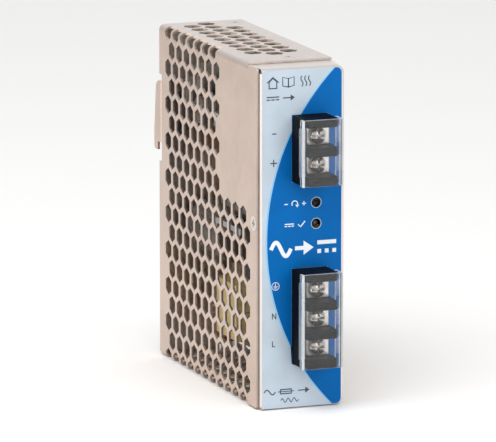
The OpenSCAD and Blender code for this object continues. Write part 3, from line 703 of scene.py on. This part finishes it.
def terminal_marks():
    flat_piece("mark_minus", [bar(-0.0102, NEGATIVE_Z + 0.0005, 0.0015, 0.0004)], 1, label_ink)
    flat_piece("mark_plus", [plus(-0.0104, POSITIVE_Z + 0.0004, 0.0025, 0.00042)], 1, label_ink)
    flat_piece("mark_neutral", [letter_n(-0.0102, NEUTRAL_Z + 0.0005, 0.0021, INK_LINE)], 1, label_ink)
    flat_piece("mark_line", [letter_l(-0.0104, LINE_Z + 0.0008, 0.0021, INK_LINE)], 1, label_ink)
    x, z = -0.0097, EARTH_Z + 0.0009
    shapes = [ring(x, z, 0.00145), ring(x, z, 0.00125)]
    shapes.append(bar(x, z + 0.00055, 0.00022, 0.0009))
    for i, width in enumerate((0.0016, 0.0011, 0.0006)):
        shapes.append(bar(x, z - 0.0001 - 0.0004 * i, width, 0.0002))
    flat_piece("mark_earth", shapes, 2, label_white)


def window_marks():
    """Less, turn and more beside the adjuster; direct current and a tick beside the light."""
    x, z = -0.0026, TRIMMER_Z
    radius = 0.00105
    turn = [
        (x + radius * math.cos(math.radians(a)), z + radius * math.sin(math.radians(a)))
        for a in range(-30, 211, 15)
    ]
    tip = [(x + 0.0002, z - 0.0003), (x + 0.0016, z - 0.0003), (x + 0.0009, z - 0.0013)]
    shapes = [bar(x - 0.0032, z, 0.0013, INK_LINE), plus(x + 0.0034, z, 0.0015, INK_LINE)]
    flat_piece("mark_adjust", [ribbon(turn, INK_LINE)], 2, label_white)
    flat_piece("mark_adjust_tip", [tip], 2, label_white)
    flat_piece("mark_adjust_ends", shapes, 2, label_white)
    shapes = direct_current(-0.0046, LED_Z, 0.0034, INK_LINE)
    tick = [(-0.0013, LED_Z + 0.0001), (-0.0005, LED_Z - 0.0008), (0.0012, LED_Z + 0.0011)]
    flat_piece("mark_output_good", shapes, 2, label_white)
    flat_piece("mark_tick", [ribbon(tick, 0.0004)], 2, label_white)


def converter_sign():
    """A generic sign for what the device does: alternating current in, direct current out."""
    z = -0.0037
    flat_piece("sign_alternating", [wave(-0.0077, z, 0.0074, 0.0050, 0.0014)], 2, label_white)
    arrow = [(-0.0025, z + 0.0007), (0.0007, z + 0.0007), (0.0007, z + 0.0025), (0.0044, z),
             (0.0007, z - 0.0025), (0.0007, z - 0.0007), (-0.0025, z - 0.0007)]
    flat_piece("sign_arrow", [arrow], 2, label_white)
    flat_piece("sign_direct", direct_current(0.0093, z, 0.0070, 0.0014), 2, label_white)


def rating_signs():
    """Small signs for the output and the use at the top, and for the supply at the bottom."""
    line = 0.00038
    # A roof for use indoors, an open book for the manual and rising heat
    house = [(-0.0123, 0.0527), (-0.0123, 0.0549), (-0.0131, 0.0549), (-0.0107, 0.0570),
             (-0.0083, 0.0549), (-0.0091, 0.0549), (-0.0091, 0.0527)]
    hollow = [(-0.0119, 0.0531), (-0.0119, 0.0551), (-0.0107, 0.0562), (-0.0095, 0.0551), (-0.0095, 0.0531)]
    flat_piece("sign_indoor", [house, hollow], 1, label_ink)
    x, z = -0.0050, 0.0548
    left = [(x, z - 0.0017), (x - 0.0021, z - 0.0012), (x - 0.0021, z + 0.0018), (x, z + 0.0013)]
    right = [(x, z - 0.0017), (x + 0.0021, z - 0.0012), (x + 0.0021, z + 0.0018), (x, z + 0.0013)]
    flat_piece("sign_book_left", [ribbon(left + left[:1], line)], 1, label_ink)
    flat_piece("sign_book_right", [ribbon(right + right[:1], line)], 1, label_ink)
    for i in range(3):
        x = 0.0000 + 0.0014 * i
        heat = [(x + 0.0004 * math.sin(math.pi * t / 6), 0.0531 + 0.0036 * t / 12) for t in range(13)]
        flat_piece("sign_heat_%d" % i, [ribbon(heat, line)], 1, label_ink)
    flat_piece("sign_output", direct_current(-0.0107, 0.0494, 0.0046, 0.00042), 1, label_ink)
    out = [(-0.0070, 0.0496), (-0.0042, 0.0496), (-0.0042, 0.0505), (-0.0026, 0.0494),
           (-0.0042, 0.0483), (-0.0042, 0.0492), (-0.0070, 0.0492)]
    flat_piece("sign_out_arrow", [out], 1, label_ink)
    # Supply: alternating current through a fuse, and its frequency as a finer wave
    flat_piece("sign_supply", [wave(-0.0118, -0.0541, 0.0042, 0.0018, 0.00042)], 1, label_ink)
    fuse = [rectangle(-0.0080, -0.0551, -0.0036, -0.0532), rectangle(-0.0076, -0.0547, -0.0040, -0.0536)]
    flat_piece("sign_fuse", fuse, 1, label_ink)
    flat_piece("sign_fuse_wire", [bar(-0.0058, -0.05415, 0.0060, 0.0003)], 2, label_ink)
    into = [(-0.0012, -0.0539), (0.0014, -0.0539), (0.0014, -0.0530), (0.0030, -0.0541),
            (0.0014, -0.0552), (0.0014, -0.0543), (-0.0012, -0.0543)]
    flat_piece("sign_in_arrow", [into], 1, label_ink)
    period = 0.0022
    for i in range(3):
        finer = wave(-0.0066 + period * i, -0.0573, period, 0.0014, 0.0003)
        flat_piece("sign_frequency_%d" % i, [finer], 1, label_ink)


blue_field()
terminal_marks()
window_marks()
converter_sign()
rating_signs()

# ------------------------------------------------------------------ stage, lights and camera


def floor():
    """A wide pale table under the supply."""
    mesh = bpy.data.meshes.new("floor")
    z = CAD_BOX[0][2]
    corners = [(x, y, z) for x, y in rectangle(-FLOOR_HALF, -FLOOR_HALF, FLOOR_HALF, FLOOR_HALF)]
    mesh.from_pydata(corners, [], [(0, 1, 2, 3)])
    piece = bpy.data.objects.new("floor", mesh)
    bpy.context.scene.collection.objects.link(piece)
    s = Shade("floor_paper", Roughness=0.75)
    fibre = s.noise(0.002, 3.0)
    s.set("Base Color", s.mix(fibre, rgb(0.90, 0.90, 0.90), rgb(0.93, 0.93, 0.93)))
    mesh.materials.append(s.material)


def area_light(name, place, size, power, color):
    """A lamp that lights the middle of the case and isn't seen itself."""
    data = bpy.data.lights.new(name, "AREA")
    data.shape = "RECTANGLE"
    data.size, data.size_y = size
    data.energy = power
    data.color = color
    light = bpy.data.objects.new(name, data)
    light.location = place
    light.rotation_euler = (Vector(STUDIO_MIDDLE) - Vector(place)).to_track_quat("-Z", "Y").to_euler()
    light.visible_camera = False
    bpy.context.scene.collection.objects.link(light)


def studio():
    """Plain soft light: a white surround, lamps above and in front, and a pale card behind."""
    world = bpy.data.worlds.new("studio")
    world.use_nodes = True
    background = world.node_tree.nodes["Background"]
    background.inputs["Color"].default_value = WORLD_COLOR
    background.inputs["Strength"].default_value = WORLD_STRENGTH
    bpy.context.scene.world = world
    for light in LIGHTS:
        area_light(*light)


def camera():
    """Looks at the case from the front left, a little above."""
    data = bpy.data.cameras.new("camera")
    data.lens = LENS
    data.sensor_width = SENSOR
    data.clip_start = 0.05
    data.clip_end = 60.0
    eye = bpy.data.objects.new("camera", data)
    turn = Matrix.Rotation(AZIMUTH, 4, "Z") @ Matrix.Rotation(math.pi / 2 - ELEVATION, 4, "X")
    right, up, back = (turn.to_3x3() @ Vector(axis) for axis in ((1, 0, 0), (0, 1, 0), (0, 0, 1)))
    place = CENTRE + right * OFFSET[0] + up * OFFSET[1] + back * DISTANCE
    eye.matrix_world = Matrix.Translation(place) @ turn
    bpy.context.scene.collection.objects.link(eye)
    bpy.context.scene.camera = eye


floor()
studio()
camera()
bpy.context.scene.view_settings.view_transform = "Standard"
